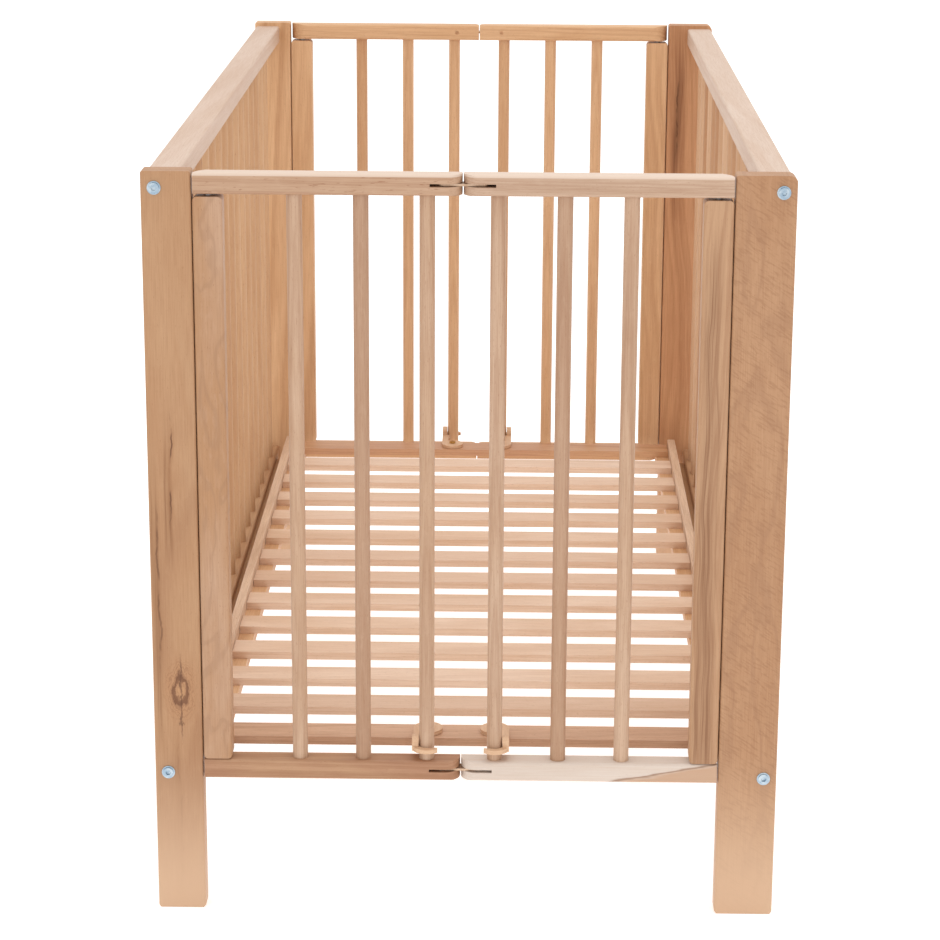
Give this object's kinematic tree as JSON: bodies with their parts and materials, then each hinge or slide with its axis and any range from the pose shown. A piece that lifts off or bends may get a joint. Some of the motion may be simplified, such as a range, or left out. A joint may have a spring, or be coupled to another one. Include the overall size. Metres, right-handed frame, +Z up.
{
  "type": "baby crib",
  "caption": "Slatted wooden baby crib with end frames hinged in the middle to fold, and a loose slatted base held by swing catches.",
  "frame": {"origin": "on the floor, below the middle of the crib", "axes": "+X across the crib to the right as seen from its front end, +Y along the crib from the front end to the rear end, +Z up"},
  "size_m": [0.66, 1.247, 0.804],
  "materials": {
    "beech": "satin light beech",
    "beech_pale": "satin pale beech",
    "beech_warm": "satin honey beech",
    "plywood": "satin plywood",
    "zinc": "blue zinc plate",
    "brass": "yellow zinc plate",
    "steel": "plain steel"
  },
  "bodies": {
    "frame": {"post_front_left": "beech", "post_front_right": "beech", "post_rear_left": "beech_warm", "post_rear_right": "beech_warm", "side_top_rail_left": "beech_pale", "side_top_rail_right": "beech_pale", "side_bottom_rail_left": "beech", "side_bottom_rail_right": "beech", "side_bars_left": "beech_warm", "side_bars_right": "beech_warm", "stile_front_left": "beech", "stile_front_right": "beech", "stile_rear_left": "beech_warm", "stile_rear_right": "beech_warm", "end_top_rail_front_left": "beech", "end_top_rail_front_right": "beech", "end_top_rail_rear_left": "beech_warm", "end_top_rail_rear_right": "beech_warm", "end_bottom_rail_front_left": "beech", "end_bottom_rail_front_right": "beech_pale", "end_bottom_rail_rear_left": "beech_warm", "end_bottom_rail_rear_right": "beech_warm", "end_bars_front_left": "beech", "end_bars_front_right": "beech", "end_bars_rear_left": "beech_warm", "end_bars_rear_right": "beech_warm", "link_front_top": "plywood", "link_front_bottom": "plywood", "link_rear_top": "plywood", "link_rear_bottom": "plywood", "pivot_pins": "steel", "link_pins": "steel", "frame_bolts": "zinc", "barrel_nuts": "zinc", "stile_dowels": "beech_pale", "ledge_left": "beech", "ledge_right": "beech", "ledge_screws": "zinc"},
    "base": {"base_rail_left": "beech_pale", "base_rail_right": "beech_pale", "cleat_left": "beech", "cleat_right": "beech", "base_slats": "beech", "end_slat_front": "beech", "end_slat_rear": "beech", "slat_screws": "zinc", "catch_screws": "brass"},
    "catch_front_left": {"catch_front_left": "plywood"},
    "catch_front_right": {"catch_front_right": "plywood"},
    "catch_rear_left": {"catch_rear_left": "plywood"},
    "catch_rear_right": {"catch_rear_right": "plywood"}
  },
  "joints": [
    {"name": "base_lift", "type": "slide", "parent": "frame", "child": "base", "axis": [0, 0, 1], "range_m": [0, 0.55]},
    {"name": "catch_swing_front_left", "type": "hinge", "parent": "base", "child": "catch_front_left", "pos_m": [-0.0415, -0.55805, 0.184], "axis": [0, 0, -1], "range_deg": [0, 90]},
    {"name": "catch_swing_front_right", "type": "hinge", "parent": "base", "child": "catch_front_right", "pos_m": [0.0305, -0.55805, 0.184], "axis": [0, 0, 1], "range_deg": [0, 90]},
    {"name": "catch_swing_rear_left", "type": "hinge", "parent": "base", "child": "catch_rear_left", "pos_m": [-0.0415, 0.55805, 0.184], "axis": [0, 0, 1], "range_deg": [0, 90]},
    {"name": "catch_swing_rear_right", "type": "hinge", "parent": "base", "child": "catch_rear_right", "pos_m": [0.0305, 0.55805, 0.184], "axis": [0, 0, -1], "range_deg": [0, 90]}
  ]
}
